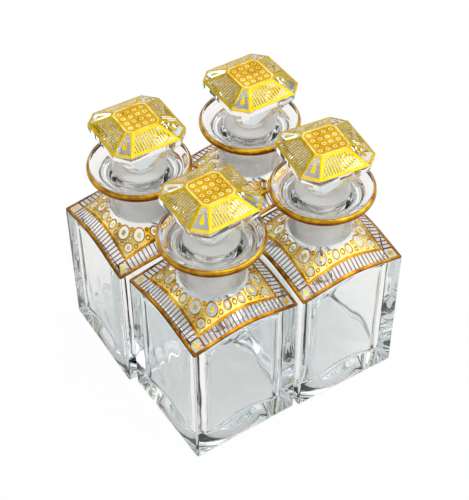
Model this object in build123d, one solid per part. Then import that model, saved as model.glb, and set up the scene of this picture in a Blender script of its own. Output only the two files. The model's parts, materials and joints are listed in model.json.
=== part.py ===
from build123d import *
import os
from math import cos, hypot, radians, sin, sqrt

# A set of four stoppered crystal perfume flacons that stand in a close two by two block.
# Each one has a square hollow body whose floor swells up inside, an arched shoulder with openwork gilding,
# a neck that flares into a broad flat lip with a gilded rim, and an octagonal faceted stopper on a tapered
# ground plug.
# Lengths are in millimetres. The origin is the centre of the set's footprint on the table, +Z is up,
# +X runs from the front flacon to the right one and +Y from the front flacon to the left one.

# Body
body_width = 60.0
body_corner_radius = 1.2
base_edge_radius = 1.1
wall = 5.0
base_thickness = 8.0
cavity_corner_radius = 9.0
cavity_dome_rise = 12.0
cavity_floor_radius = 4.0

# Shoulder: one turned hollow curve from the neck's foot out to the body's corners
corner_height = 79.7
side_arch_rise = 3.9
shoulder_rise = 14.1
shoulder_wall = 5.5

# Neck and lip, with heights counted from the neck's foot and angles round the lip's bead from level
neck_radius = 16.0
neck_foot_fillet = 1.2
flare_rise = 10.6
lip_ring_radius = 23.85
lip_ring_rise = 24.9
lip_bead_radius = 2.18
lip_bead_start_angle = -70.0
lip_bead_end_angle = 82.0
mouth_radius = 13.4
mouth_rise = 24.4
mouth_edge_radius = 0.6
dish_hollow = 0.5
ground_taper = 0.05

# Stopper: the plug's top stands proud of the mouth, and the head rises from a narrow waist on it
plug_clearance = 0.06
plug_depth = 27.2
plug_end_radius = 1.2
plug_top_rise = 0.4
plug_top_radius = 0.5
waist_width = 14.0
waist_rise = 2.2
pavilion_height = 19.6
girdle_width = 39.4
girdle_corner_cut = 6.4
girdle_height = 3.0
crown_height = 5.4
table_width = 18.4
table_corner_cut = 2.4

# Gilding: a fired film, drawn thick enough to be a solid, a hairline above the shoulder's curved glass
film = 0.15
film_seat = 0.01
border_margin = 0.15
border_band = 1.9
bar_zone = 5.8
bar_count = 19
bar_width = 0.65
corner_window = 5.8
corner_dot_radius = 1.75
scallop_circle_radius = 19.2
scallop_radius = 1.9
scallop_count = 16
lip_film_start_angle = -58.0
lip_film_end_angle = 66.0
head_band = 1.3
head_bar_count = 14
head_bar_width = 0.6
drop_length = 5.6
drop_radius = 1.15

# How the four flacons stand: a set placed by hand, with small gaps, shifts and turns in degrees
front_left_gap = 0.6
front_right_gap = 2.0
right_back_gap = 0.4
left_back_gap = 3.3
left_shift_x = -2.4
right_shift_y = -2.0
flacon_turn = {"front": 0.0, "left": -1.9, "right": -1.5, "back": 0.0}
stopper_twist = {"front": 0.0, "left": -0.5, "right": -6.9, "back": -0.9}

half_width = body_width / 2
corner_reach = half_width * sqrt(2)
neck_foot_height = corner_height + shoulder_rise
mouth_height = neck_foot_height + mouth_rise
lip_ring_height = neck_foot_height + lip_ring_rise
plug_top_height = mouth_height + plug_top_rise
waist_height = mouth_height + waist_rise
girdle_bottom = waist_height + pavilion_height
girdle_top = girdle_bottom + girdle_height
table_height = girdle_top + crown_height


def circle_through(first, second, third):
    """Centre and radius of the circle through three points of a plane."""
    (x1, y1), (x2, y2), (x3, y3) = first, second, third
    s1, s2, s3 = x1 * x1 + y1 * y1, x2 * x2 + y2 * y2, x3 * x3 + y3 * y3
    twice_area = 2 * (x1 * (y2 - y3) + x2 * (y3 - y1) + x3 * (y1 - y2))
    x = (s1 * (y2 - y3) + s2 * (y3 - y1) + s3 * (y1 - y2)) / twice_area
    y = (s1 * (x3 - x2) + s2 * (x1 - x3) + s3 * (x2 - x1)) / twice_area
    return x, y, hypot(x1 - x, y1 - y)


shoulder_x, shoulder_z, shoulder_radius = circle_through(
    (neck_radius, neck_foot_height),
    (half_width, corner_height + side_arch_rise),
    (corner_reach, corner_height),
)


def shoulder_height(radius, depth=0.0):
    """Height of the turned shoulder at a radius, or of a parallel surface that far inside the glass."""
    return shoulder_z - sqrt((shoulder_radius + depth) ** 2 - (shoulder_x - radius) ** 2)


def shoulder_arc(inner, outer, depth=0.0):
    """Shoulder curve between two radii, in the plane of the turned profile."""
    points = [(r, shoulder_height(r, depth)) for r in (inner, (inner + outer) / 2, outer)]
    return ThreePointArc(*points)


def turned(edges):
    """Solid of revolution about +Z from a closed profile of radius and height."""
    return revolve(Plane.XZ * make_face(edges), Axis.Z)


def lip_point(radius, angle):
    """Point of the lip's bead section at an angle above the horizontal."""
    a = radians(angle)
    return lip_ring_radius + radius * cos(a), lip_ring_height + radius * sin(a)


def lip_arc(radius, start, end):
    """Arc round the lip's bead from a lower angle over the rim to an upper one."""
    return ThreePointArc(*[lip_point(radius, a) for a in (start, (start + end) / 2, end)])


def ground_radius(height):
    """Radius of the ground neck bore at a height; the plug follows it with a clearance."""
    return mouth_radius + ground_taper * (height - mouth_height)


def octagon(width, cut):
    """Square with its corners cut off."""
    return chamfer(Rectangle(width, width).vertices(), cut)


def waist_outline():
    """Regular octagon of the stopper's waist."""
    return octagon(waist_width, waist_width / (2 + sqrt(2)))


def flacon_outside():
    """Square body under the turned shoulder, with the neck and its flared lip."""
    block = extrude(RectangleRounded(body_width, body_width, body_corner_radius), table_height)
    block = fillet(block.edges().group_by(Axis.Z)[0], base_edge_radius)
    foot = (neck_radius, neck_foot_height)
    flare = (neck_radius, neck_foot_height + flare_rise)
    bead_start = lip_point(lip_bead_radius, lip_bead_start_angle)
    bead_end = lip_point(lip_bead_radius, lip_bead_end_angle)
    mouth = (mouth_radius + mouth_edge_radius, mouth_height)
    profile = make_face([
        Polyline((0, mouth_height), (0, 0), (corner_reach, 0), (corner_reach, corner_height)),
        shoulder_arc(corner_reach, neck_radius),
        Line(foot, flare),
        TangentArc(flare, bead_start, tangent=(0, 1)),
        lip_arc(lip_bead_radius, lip_bead_start_angle, lip_bead_end_angle),
        SagittaArc(bead_end, mouth, dish_hollow),
        Line(mouth, (0, mouth_height)),
    ])
    neck_foot = profile.vertices().sort_by_distance((foot[0], foot[1], 0))[0]
    profile = fillet(neck_foot, neck_foot_fillet)
    return block & revolve(Plane.XZ * profile, Axis.Z)


def floor_dome(reach):
    """Glass that swells up inside the base, thinnest at the cavity's corners."""
    top = base_thickness + cavity_dome_rise
    return turned([
        TangentArc((0, top), (reach, base_thickness), tangent=(1, 0)),
        Polyline((reach, base_thickness), (0, base_thickness), (0, top)),
    ])


def flacon_cavity():
    """Room for the perfume: rounded square between the domed floor and a roof parallel to the shoulder,
    and the ground bore up to the mouth's rounded edge."""
    width = body_width - 2 * wall
    room = Pos(0, 0, base_thickness) * extrude(
        RectangleRounded(width, width, cavity_corner_radius), neck_foot_height - base_thickness
    )
    room -= floor_dome((width / 2 - cavity_corner_radius) * sqrt(2) + cavity_corner_radius)
    floor_edges = room.edges().filter_by_position(Axis.Z, 0, base_thickness + cavity_dome_rise)
    room = fillet(floor_edges, cavity_floor_radius)
    bore_foot_radius = ground_radius(shoulder_height(neck_radius, shoulder_wall))
    roof = turned([
        Polyline(
            (bore_foot_radius, shoulder_height(bore_foot_radius, shoulder_wall)),
            (0, shoulder_height(bore_foot_radius, shoulder_wall)),
            (0, 0),
            (corner_reach, 0),
            (corner_reach, shoulder_height(corner_reach, shoulder_wall)),
        ),
        shoulder_arc(corner_reach, bore_foot_radius, shoulder_wall),
    ])
    edge_foot = (ground_radius(mouth_height - mouth_edge_radius), mouth_height - mouth_edge_radius)
    mouth = (mouth_radius + mouth_edge_radius, mouth_height)
    bore = turned([
        Polyline(mouth, (0, mouth_height), (0, corner_height), (ground_radius(corner_height), corner_height)),
        Line((ground_radius(corner_height), corner_height), edge_foot),
        TangentArc(mouth, edge_foot, tangent=(-1, 0)),
    ])
    return (room & roof) + bore


def flacon_glass():
    return flacon_outside() - flacon_cavity()


def square_ring(pieces):
    """The same pieces on the four sides of a square."""
    return [Rot(0, 0, 90 * quarter) * piece for quarter in range(4) for piece in pieces]


def shoulder_pattern():
    """Plan of the shoulder's gilding, and the dots that stand free in its corner windows.
    A border, bars and windows frame a field whose edge round the neck is scalloped."""
    gold_width = body_width - 2 * border_margin
    gold = RectangleRounded(gold_width, gold_width, body_corner_radius - border_margin)
    zone_outer = half_width - border_margin - border_band
    corner_centre = zone_outer - corner_window / 2
    bars_half_length = zone_outer - corner_window - bar_width
    pitch = 2 * bars_half_length / (bar_count + 1)
    slot = Rectangle(bar_zone, pitch - bar_width)
    slots = [
        Pos(zone_outer - bar_zone / 2, -bars_half_length + (place + 0.5) * pitch) * slot
        for place in range(bar_count + 1)
    ]
    corner = Pos(corner_centre, corner_centre)
    window = corner * Rectangle(corner_window, corner_window)
    scallops = [
        Rot(0, 0, 360 * k / scallop_count) * Pos(scallop_circle_radius, 0) * Circle(scallop_radius)
        for k in range(scallop_count)
    ]
    gold -= square_ring(slots + [window]) + [Circle(scallop_circle_radius)]
    return gold + scallops, square_ring([corner * Circle(corner_dot_radius)])


def cut_out(sheet, outlines):
    """Pieces of a thin sheet that lie over plan outlines, kept together as one gilding."""
    pieces = [sheet & extrude(outline, 2 * table_height) for outline in outlines]
    return Compound([solid for piece in pieces for solid in piece.solids()])


def shoulder_gilding():
    """Thin film on the shoulder's glass, cut to the gilded pattern."""
    inner = neck_radius + neck_foot_fillet
    under, over = -film_seat, -film_seat - film
    sheet = turned([
        shoulder_arc(inner, corner_reach, under),
        Line(*[(corner_reach, shoulder_height(corner_reach, depth)) for depth in (under, over)]),
        shoulder_arc(corner_reach, inner, over),
        Line(*[(inner, shoulder_height(inner, depth)) for depth in (over, under)]),
    ])
    gold, dots = shoulder_pattern()
    return cut_out(sheet, [gold] + dots)


def lip_gilding():
    """Thin film round the lip's bead."""
    start, end = lip_film_start_angle, lip_film_end_angle
    under, over = lip_bead_radius, lip_bead_radius + film
    return turned([
        lip_arc(under, start, end),
        Line(lip_point(under, end), lip_point(over, end)),
        lip_arc(over, start, end),
        Line(lip_point(over, start), lip_point(under, start)),
    ])


def crown():
    """Sloping facets of the head, from the girdle's upper edge to the flat table."""
    return loft([
        Pos(0, 0, girdle_top) * octagon(girdle_width, girdle_corner_cut),
        Pos(0, 0, table_height) * octagon(table_width, table_corner_cut),
    ], ruled=True)


def stopper_glass():
    """Tapered ground plug, waist, pavilion, girdle and crown in one piece of glass."""
    plug_foot = mouth_height - plug_depth
    plug = Pos(0, 0, (plug_foot + plug_top_height) / 2) * Cone(
        ground_radius(plug_foot) - plug_clearance,
        ground_radius(plug_top_height) - plug_clearance,
        plug_top_height - plug_foot,
    )
    plug = fillet(plug.edges().group_by(Axis.Z)[0], plug_end_radius)
    plug = fillet(plug.edges().group_by(Axis.Z)[-1], plug_top_radius)
    waist = Pos(0, 0, plug_top_height) * extrude(waist_outline(), waist_height - plug_top_height)
    pavilion = loft([
        Pos(0, 0, waist_height) * waist_outline(),
        Pos(0, 0, girdle_bottom) * octagon(girdle_width, girdle_corner_cut),
    ], ruled=True)
    girdle = Pos(0, 0, girdle_bottom) * extrude(octagon(girdle_width, girdle_corner_cut), girdle_height)
    return plug + waist + pavilion + girdle + crown()


def corner_drop(inner, outer):
    """Drop-shaped leaf on a corner facet, with its point towards the table."""
    centre = (inner + outer) / 2 + drop_length / 2 - drop_radius
    tip = centre + drop_radius - drop_length
    touch = drop_radius * drop_radius / (centre - tip)
    half = sqrt(drop_radius * drop_radius - touch * touch)
    point = make_face(Polyline((tip, 0), (centre - touch, -half), (centre - touch, half), close=True))
    return point + Pos(centre, 0) * Circle(drop_radius)


def crown_pattern():
    """Plan of the head's gilding: table, bands along every facet edge, bars on the broad facets,
    and a drop on each corner facet."""
    girdle_half, table_half = girdle_width / 2, table_width / 2
    slope_run = girdle_half - table_half
    girdle_flat = girdle_half - girdle_corner_cut
    table_flat = table_half - table_corner_cut
    spread = (girdle_flat - table_flat) / slope_run
    ridge_margin = head_band * hypot(1, spread)
    inner, outer = table_half + head_band, girdle_half - head_band
    flat_inner = table_flat + spread * head_band - ridge_margin
    flat_outer = girdle_flat - spread * head_band - ridge_margin
    field = make_face(Polyline(
        (inner, -flat_inner), (outer, -flat_outer), (outer, flat_outer), (inner, flat_inner), close=True
    ))
    pitch = 2 * flat_outer / (head_bar_count + 1)
    slot = Rectangle(2 * girdle_width, pitch - head_bar_width)
    slots = [Pos(0, -flat_outer + (place + 0.5) * pitch) * slot for place in range(head_bar_count + 1)]
    windows = [field & strip for strip in slots]
    corner_inner = (table_width - table_corner_cut) / sqrt(2) + head_band
    corner_outer = (girdle_width - girdle_corner_cut) / sqrt(2) - head_band
    corner_half_inner = table_corner_cut / sqrt(2) - head_band / 2
    corner_half_outer = girdle_corner_cut / sqrt(2) - head_band / 2
    corner = make_face(Polyline(
        (corner_inner, -corner_half_inner), (corner_outer, -corner_half_outer),
        (corner_outer, corner_half_outer), (corner_inner, corner_half_inner), close=True
    ))
    gold = octagon(girdle_width, girdle_corner_cut) - square_ring(windows + [Rot(0, 0, 45) * corner])
    return gold, square_ring([Rot(0, 0, 45) * corner_drop(corner_inner, corner_outer)])


def stopper_gilding():
    """Thin film over the crown and table, cut to the gilded pattern."""
    lift = Pos(0, 0, film)
    skirt = Pos(0, 0, girdle_top) * extrude(octagon(girdle_width, girdle_corner_cut), film)
    sheet = (lift * crown() + skirt) - crown()
    gold, drops = crown_pattern()
    return cut_out(sheet, [gold] + drops)


def half_reach(name):
    """Half the footprint of one flacon's turned body along X or Y."""
    turn = radians(abs(flacon_turn[name]))
    return (half_width - body_corner_radius) * (cos(turn) + sin(turn)) + body_corner_radius


def set_centres():
    """Centre of each flacon about the middle of the set's footprint."""
    reach = {name: half_reach(name) for name in flacon_turn}
    left = (left_shift_x, reach["front"] + front_left_gap + reach["left"])
    right = (reach["front"] + front_right_gap + reach["right"], right_shift_y)
    back = (
        left[0] + reach["left"] + left_back_gap + reach["back"],
        right[1] + reach["right"] + right_back_gap + reach["back"],
    )
    centres = {"front": (0, 0), "left": left, "right": right, "back": back}
    middle = []
    for axis in range(2):
        lowest = min(centres[name][axis] - reach[name] for name in centres)
        highest = max(centres[name][axis] + reach[name] for name in centres)
        middle.append((lowest + highest) / 2)
    return {name: (x - middle[0], y - middle[1]) for name, (x, y) in centres.items()}


def main():
    os.makedirs("parts", exist_ok=True)
    flacon = {
        "flacon_glass": flacon_glass(),
        "shoulder_gilding": shoulder_gilding(),
        "lip_gilding": lip_gilding(),
    }
    stopper = {
        "stopper_glass": stopper_glass(),
        "stopper_gilding": stopper_gilding(),
    }
    for name, (x, y) in set_centres().items():
        turn = flacon_turn[name]
        for shapes, angle in ((flacon, turn), (stopper, turn + stopper_twist[name])):
            place = Location((x, y, 0), (0, 0, angle))
            for node, shape in shapes.items():
                export_step(place * shape, f"parts/{name}_{node}.step")


main()
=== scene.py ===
import json
import math

import bpy
import numpy as np
from mathutils import Matrix, Vector
from mathutils.geometry import delaunay_2d_cdt


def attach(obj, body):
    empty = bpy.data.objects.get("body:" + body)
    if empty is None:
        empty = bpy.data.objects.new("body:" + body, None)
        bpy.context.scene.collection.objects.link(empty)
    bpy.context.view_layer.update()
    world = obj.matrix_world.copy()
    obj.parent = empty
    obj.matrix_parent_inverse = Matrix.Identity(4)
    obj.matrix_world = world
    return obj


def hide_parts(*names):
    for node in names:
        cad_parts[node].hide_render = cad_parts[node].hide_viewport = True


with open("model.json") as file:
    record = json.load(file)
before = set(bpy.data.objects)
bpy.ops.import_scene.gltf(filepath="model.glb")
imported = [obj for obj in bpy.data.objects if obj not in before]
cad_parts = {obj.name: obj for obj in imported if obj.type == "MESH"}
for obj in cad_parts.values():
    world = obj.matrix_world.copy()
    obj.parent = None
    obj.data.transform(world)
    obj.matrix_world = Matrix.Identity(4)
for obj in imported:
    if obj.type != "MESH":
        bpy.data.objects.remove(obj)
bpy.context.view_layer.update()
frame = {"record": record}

# Metres in a millimetre: the frame is in metres, and the lengths below are in millimetres unless they say so
MM = 0.001

# The glass as the CAD part has it
BODY_HALF = 30.0
BODY_CORNER = 1.2
CORNER_HEIGHT = 79.7
SIDE_ARCH_HEIGHT = 83.6
SHOULDER_WALL = 5.5
CAVITY_HALF = 25.0
CAVITY_CORNER = 9.0
CAVITY_FLOOR = 8.0
CAVITY_DOME_RISE = 12.0
NECK_FOOT_HEIGHT = 93.8
NECK_RADIUS = 16.0
NECK_FOOT_FILLET = 1.2
FLARE_HEIGHT = 104.4
LIP_RING_RADIUS = 23.85
LIP_RING_HEIGHT = 118.7
LIP_BEAD_RADIUS = 2.18
LIP_BEAD_ANGLES = (-70.0, 82.0)
MOUTH_RADIUS = 13.4
MOUTH_HEIGHT = 118.2
MOUTH_EDGE = 0.6
DISH_HOLLOW = 0.5
GROUND_TAPER = 0.05
PLUG_CLEARANCE = 0.06
PLUG_DEPTH = 27.2
PLUG_FOOT_EDGE = 1.2
PLUG_TOP_HEIGHT = 118.6
PLUG_TOP_EDGE = 0.5
WAIST_RADIUS = 7.0
WAIST_HEIGHT = 120.4
GIRDLE_BOTTOM = 140.0
GIRDLE_TOP = 143.0
TABLE_HEIGHT = 148.4
GIRDLE_HALF = 19.7
GIRDLE_CUT = 6.4
TABLE_HALF = 9.2
TABLE_CUT = 2.4

# Softer edges and eases that the scene's glass has of its own, and the height where its ground bore ends.
# A share is part of a length, a sweep or an angle is in degrees, and an ease is (sideways, up or down)
BASE_EDGE = 2.4
SHOULDER_EDGE = 0.45
SHOULDER_EDGE_SHARE = 0.8
SHOULDER_EDGE_SWEEP = 60
NECK_FOOT_SHARE = 0.45
NECK_FOOT_EASE = (0.16, 0.42)
NECK_EASE = ((0.03, 0.7), (0.0, 1.2), (0.0, 3.5))
GROUND_TOP = 108.0
BORE_FOOT_INSET = 4.0
BORE_FOOT_LIFT = 1.0
BORE_FOOT_EASE = (0.6, 0.2)
ROOF_START_SHARE = 0.12
ROOF_EDGE = 3.0
ROOF_EDGE_START_ANGLE = 20
ROOF_EDGE_DROP = 0.4
CAVITY_FLOOR_EDGE = 6.5
PLUG_FOOT_SHARE = 0.6
PLUG_FOOT_SWEEP = 80
PLUG_FOOT_LIFT = 2.0
SHELF_RISE = 0.5
SHELF_SHARES = (0.3, 0.6, 0.85)
WAIST_FOOT_EASE = (0.4, 0.75)
PAVILION_SHARES = (0.04, 0.5, 0.985)
CROWN_SHARES = (0.02, 0.5, 0.975)
TABLE_EDGE_SHARE = 0.985
FACET_EDGE = 0.25

# Unevenness of the blown inside wall: the heights of two crossing waves, and the millimetres that a
# radian of them takes along the side and up it. Sways and shifts are in radians
RIPPLE = 0.6
UPRIGHT_WAVE = 0.16
UPRIGHT_WAVE_RUN = 2.6
UPRIGHT_WAVE_RISE = 11.0
UPRIGHT_WAVE_SWAY = 1.8
UPRIGHT_WAVE_SWAY_RISE = 13.0
LEVEL_WAVE = 0.13
LEVEL_WAVE_RISE = 5.2
LEVEL_WAVE_RUN = 6.5
LEVEL_WAVE_SHIFT = 2.1
SIDE_SHIFT = 1.7

# How finely the glass is divided: along a flat side and round a corner, and then along its section
GLASS_SIDE_STEPS = (36, 8)
BASE_SHARES = (0.35, 0.7)
BASE_EDGE_STEPS = 6
OUTER_WALL_SHARES = (0.2, 0.4, 0.6, 0.8)
SHOULDER_EDGE_STEPS = 4
SHOULDER_STEPS = 14
FLARE_STEPS = 9
BEAD_STEPS = 12
DISH_STEPS = 10
MOUTH_EDGE_ANGLES = (30, 60)
BORE_STEPS = 9
ROOF_STEPS = 9
ROOF_EDGE_STEPS = 5
INNER_WALL_STEPS = 18
FLOOR_EDGE_STEPS = 8
FLOOR_SHARES = (0.8, 0.6, 0.4, 0.2)
PLUG_FOOT_STEPS = 4
PLUG_STEPS = 9
PLUG_TOP_EDGE_ANGLES = (35, 65, 90)

# Gilding: the film's thickness, and how high it lies over the glass
FILM = 0.15
FILM_SEAT = 0.01

# Gilding of a shoulder: its border, bars, corner windows with dots, and the band inside them
BORDER_MARGIN = 0.15
BORDER_BAND = 1.7
BORDER_LINE = 0.55
BAR_ZONE = 5.3
BAR_COUNT = 19
BAR_WIDTH = 0.52
CORNER_WINDOW = 5.3
CORNER_DOT = 1.6
INNER_BAND = 1.2
BRINK_RADIUS = 17.8

# Rings of a shoulder's field. Those round the neck are (direction in degrees, reach, radius) and those
# between them (x, y, radius). Each quarter has the same ones
NECK_RINGS = ((11.25, 19.5, 2.2), (33.75, 20.4, 3.1), (56.25, 20.4, 3.1), (78.75, 19.5, 2.2))
CORNER_RINGS = (
    (18.4, 18.4, 2.4), (20.1, 14.9, 1.1), (14.9, 20.1, 1.1), (20.0, 8.0, 1.15), (8.0, 20.0, 1.15),
    (17.0, 6.9, 0.85), (6.9, 17.0, 0.85), (13.1, 13.1, 0.95), (19.3, 0.0, 1.35),
)
RING_LINE = 0.52
RING_DOT_SHARE = 0.36
RING_RIDGE = 0.12
RING_RIDGE_WIDTH = 0.15
BUBBLE_SEED = 7
BUBBLE_SPACING = 1.15
BUBBLE_JITTER = 0.5
BUBBLE_OPENINGS = (0.25, 0.5)
BUBBLE_RIM = 0.15

# Gilding of a head: its bands, bars, corner drops, and the table with rows of rings inside a frame
HEAD_BAND = 1.3
HEAD_BAR_COUNT = 14
HEAD_BAR_WIDTH = 0.8
DROP_LENGTH = 5.6
DROP_RADIUS = 1.15
TABLE_FRAME = 0.9
TABLE_FRAME_CUT_SHARE = 0.6
TABLE_RING = 1.5
TABLE_RING_LINE = 0.45
TABLE_RING_ROWS = 4
TABLE_RING_PITCH = 3.9
TABLE_RING_DENT = 0.07
TABLE_EYE_SHARE = 0.3
HEAD_FILM_CORNER = 0.02

# Gilding of a lip, in degrees from level: where it starts and ends round the bead, and where its lower
# part ends, which is painted darker gold as shade on the bead's underside
LIP_FILM_ANGLES = (-58.0, 66.0)
LIP_PAINTED_SHADE_ANGLE = 12.0

# How finely the gilding is divided. A grid is (half its width, its step), and the slack keeps its last row
FILM_SIDE_STEPS = (30, 6)
SHOULDER_GRID = (28.8, 1.8)
HEAD_GRID = (18.0, 3.0)
GRID_SLACK = 0.1
OUTLINE_PITCH = 2.0
BRINK_STEPS = 96
RING_STEPS = 22
BUBBLE_STEPS = 10
BUBBLE_FOOT_STEPS = 12
DROP_STEPS = 18
TABLE_RING_STEPS = 18
GIRDLE_SIDE_STEPS = 8
TABLE_SIDE_STEPS = 6
LIP_SECTION_STEPS = 13
LIP_ROUND_STEPS = 96
MERGE_DISTANCE = 1e-5

# Places in a piece's list of materials. The glass is clear or ground. A film is bare where it has no gold
CLEAR, GROUND = 0, 1
BARE = -1
FIELD_GOLD, FRAME_GOLD, LINE_GOLD = 0, 1, 2
HEAD_PALE, HEAD_FACET, HEAD_TABLE, HEAD_RING = 0, 1, 2, 3
# The lip's lower part takes the dark gold as painted shade
LIP_LIT, LIP_PAINTED_SHADE = 0, 1

# How the four flacons stand, as turns in degrees
NAMES = ("front", "left", "right", "back")
FLACON_TURN = {"front": 0.0, "left": -1.9, "right": -1.5, "back": 0.0}
STOPPER_TWIST = {"front": 0.0, "left": -0.5, "right": -6.9, "back": -0.9}

# Surfaces. A grain is (scale of its noise, detail, strength of its bumps, their height in metres). The gold
# goes from deep to bright between two values of its clouds, and from smooth to rough between two shares
SHADOW_TINT = (0.87, 0.885, 0.89, 1)
GROUND_GRAIN = (2600.0, 3.0, 0.3, 0.0001)
GOLD_PITS = (900.0, 3.0, 0.35, 0.0002)
GOLD_WAVES = (330.0, 1.0, 0.6, 0.0004)
GOLD_CLOUD_EDGES = (0.35, 0.65)
GOLD_POLISH = (0.6, 1.5)

# The studio's light on glass and gold: (height of the direction, brightness) from level to straight up,
# and soft glows, each a direction, the cosine to it where the glow starts, and its strength
ROOM_COLOUR = (0.95, 0.98, 1.0, 1)
ROOM_LEVELS = (
    (0.0, 0.85), (0.05, 0.85), (0.09, 0.1), (0.14, 0.1), (0.2, 0.85), (0.45, 0.8), (0.72, 0.34), (1.0, 0.12),
)
ROOM_GLOWS = (
    ((0.39, 0.585, 0.71), 0.90, 0.8),
    ((-0.35, -0.55, 0.75), 0.8, 0.6),
    ((0.39, -0.6, 0.7), 0.86, 0.5),
    ((-0.63, 0.585, 0.51), 0.925, 0.7),
    ((-0.12, 0.09, 0.99), 0.94, 1.3),
)

# What is seen through glass: how much of the room is an even pale blue, and how much of the floor glows, near
# the set and away from it, between two distances from its middle in metres; less glow near the set is painted
# shadow
ROOM_GLOW_IN_GLASS = 0.2
ROOM_COLOUR_IN_GLASS = (0.62, 0.86, 1.0, 1)
FLOOR_GLOW_IN_GLASS = (0.34, 0.95)
FLOOR_SHADE_REACH = (0.045, 0.11)
FLOOR_COLOUR_IN_GLASS = (1.0, 0.95, 0.915, 1)

# The floor, in metres, and how much of it glows white for the camera. The rest keeps a soft shadow
FLOOR_HALF = 3.0
FLOOR_DROP = 0.0003
FLOOR_GLOW = 0.97
FLOOR_COLOUR = (0.92, 0.905, 0.89, 1)
WHITE = (1, 1, 1, 1)

# The key softbox, in metres and watts
KEY_PLACE = (0.52, -0.52, 1.05)
KEY_TARGET = (0, 0, 0.12)
KEY_SIZE = (1.6, 1.7)
KEY_POWER = 10.0

# The photograph's camera, found from the four bodies' edges: its place, its angles in degrees, and how far it
# sees in metres
CAMERA_PLACE = (-255.27, -388.11, 537.40)
CAMERA_YAW = 56.40
CAMERA_PITCH = 45.36
CAMERA_ROLL = -0.20
FOCAL_PIXELS = 1279.5
FRAME_PIXELS = 500
SENSOR = 36.0
CLIP_END = 10.0

# How often light may bounce. The number of mirrorings was set by comparing the glass with the photograph's
GLASS_BOUNCES = 32
MIRROR_BOUNCES = 7

mounts = {mount["name"]: mount["pos_m"] for mount in frame["record"]["mounts"]}
CENTRE = {name: Vector(mounts[f"{name}_base"]) for name in NAMES}


def place(flacon, on_stopper):
    """Where a flacon stands in the set, or how its stopper sits in it."""
    turn = FLACON_TURN[flacon] + (STOPPER_TWIST[flacon] if on_stopper else 0.0)
    return Matrix.Translation(CENTRE[flacon]) @ Matrix.Rotation(math.radians(turn), 4, "Z")


def circle_through(first, second, third):
    """Centre and radius of the circle through three points of a plane."""
    (x1, y1), (x2, y2), (x3, y3) = first, second, third
    s1, s2, s3 = x1 * x1 + y1 * y1, x2 * x2 + y2 * y2, x3 * x3 + y3 * y3
    twice_area = 2 * (x1 * (y2 - y3) + x2 * (y3 - y1) + x3 * (y1 - y2))
    x = (s1 * (y2 - y3) + s2 * (y3 - y1) + s3 * (y1 - y2)) / twice_area
    y = (s1 * (x3 - x2) + s2 * (x1 - x3) + s3 * (x2 - x1)) / twice_area
    return x, y, math.hypot(x1 - x, y1 - y)


SHOULDER = circle_through(
    (NECK_RADIUS, NECK_FOOT_HEIGHT),
    (BODY_HALF, SIDE_ARCH_HEIGHT),
    (BODY_HALF * math.sqrt(2), CORNER_HEIGHT),
)


def shoulder_height(radius, depth=0.0):
    """Height of the turned shoulder at a radius, or of a parallel surface at a depth inside the glass."""
    x, z, arc = SHOULDER
    return z - np.sqrt((arc + depth) ** 2 - (x - radius) ** 2)


def square_radius(half, corner, theta):
    """Distance from the centre to a rounded square's outline, for each direction."""
    phi = np.abs((theta + math.pi / 4) % (math.pi / 2) - math.pi / 4)
    inset = half - corner
    flat = half / np.cos(phi)
    across = inset * (np.cos(phi) - np.sin(phi))
    arc = inset * (np.cos(phi) + np.sin(phi)) + np.sqrt(np.maximum(corner**2 - across**2, 0.0))
    return np.where(half * np.tan(phi) <= inset, flat, arc)


def corner_rich_angles(flat_steps, corner_steps):
    """Directions round the body, closer together at the four rounded corners."""
    edge = math.degrees(math.atan((BODY_HALF - BODY_CORNER) / BODY_HALF))
    flat = np.linspace(-edge, edge, flat_steps, endpoint=False)
    corner = np.linspace(edge, 90 - edge, corner_steps, endpoint=False)
    quarter = np.concatenate([flat, corner])
    return np.radians(np.concatenate([quarter + 90 * k for k in range(4)]))


def arc_points(first, last, centre, radius, steps):
    """Points of a circular arc between two angles in degrees."""
    angles = np.radians(np.linspace(first, last, steps))
    return [(centre[0] + radius * math.cos(a), centre[1] + radius * math.sin(a)) for a in angles]


def sagitta_points(start, end, hollow, steps):
    """Points of an arc from start to end that bulges to its left by a given depth."""
    (x1, z1), (x2, z2) = start, end
    chord = math.hypot(x2 - x1, z2 - z1)
    normal = (-(z2 - z1) / chord, (x2 - x1) / chord)
    middle = ((x1 + x2) / 2 + hollow * normal[0], (z1 + z2) / 2 + hollow * normal[1])
    x, z, radius = circle_through(start, middle, end)
    angles = np.unwrap([math.atan2(p[1] - z, p[0] - x) for p in (start, middle, end)])
    return [(x + radius * math.cos(a), z + radius * math.sin(a))
            for a in np.linspace(angles[0], angles[2], steps)]


def flare_points():
    """Underside of the lip: leaves the neck upright and curls out to the bead."""
    a = math.radians(LIP_BEAD_ANGLES[0])
    end_radius = LIP_RING_RADIUS + LIP_BEAD_RADIUS * math.cos(a)
    end_height = LIP_RING_HEIGHT + LIP_BEAD_RADIUS * math.sin(a)
    out, up = end_radius - NECK_RADIUS, end_height - FLARE_HEIGHT
    radius = (out * out + up * up) / (2 * out)
    sweep = math.asin(up / radius)
    return [(NECK_RADIUS + radius * (1 - math.cos(t)), FLARE_HEIGHT + radius * math.sin(t))
            for t in np.linspace(0, sweep, FLARE_STEPS)]


def ground_radius(height):
    """Radius of the tapered bore at a height. The plug's is smaller by the clearance."""
    return MOUTH_RADIUS + GROUND_TAPER * (height - MOUTH_HEIGHT)


def dome_height(radius):
    """Height of the domed floor inside the base, over a distance from the middle."""
    reach = (CAVITY_HALF - CAVITY_CORNER) * math.sqrt(2) + CAVITY_CORNER
    sphere = (reach**2 + CAVITY_DOME_RISE**2) / (2 * CAVITY_DOME_RISE)
    return CAVITY_FLOOR + CAVITY_DOME_RISE - sphere + np.sqrt(sphere**2 - radius**2)


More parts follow.
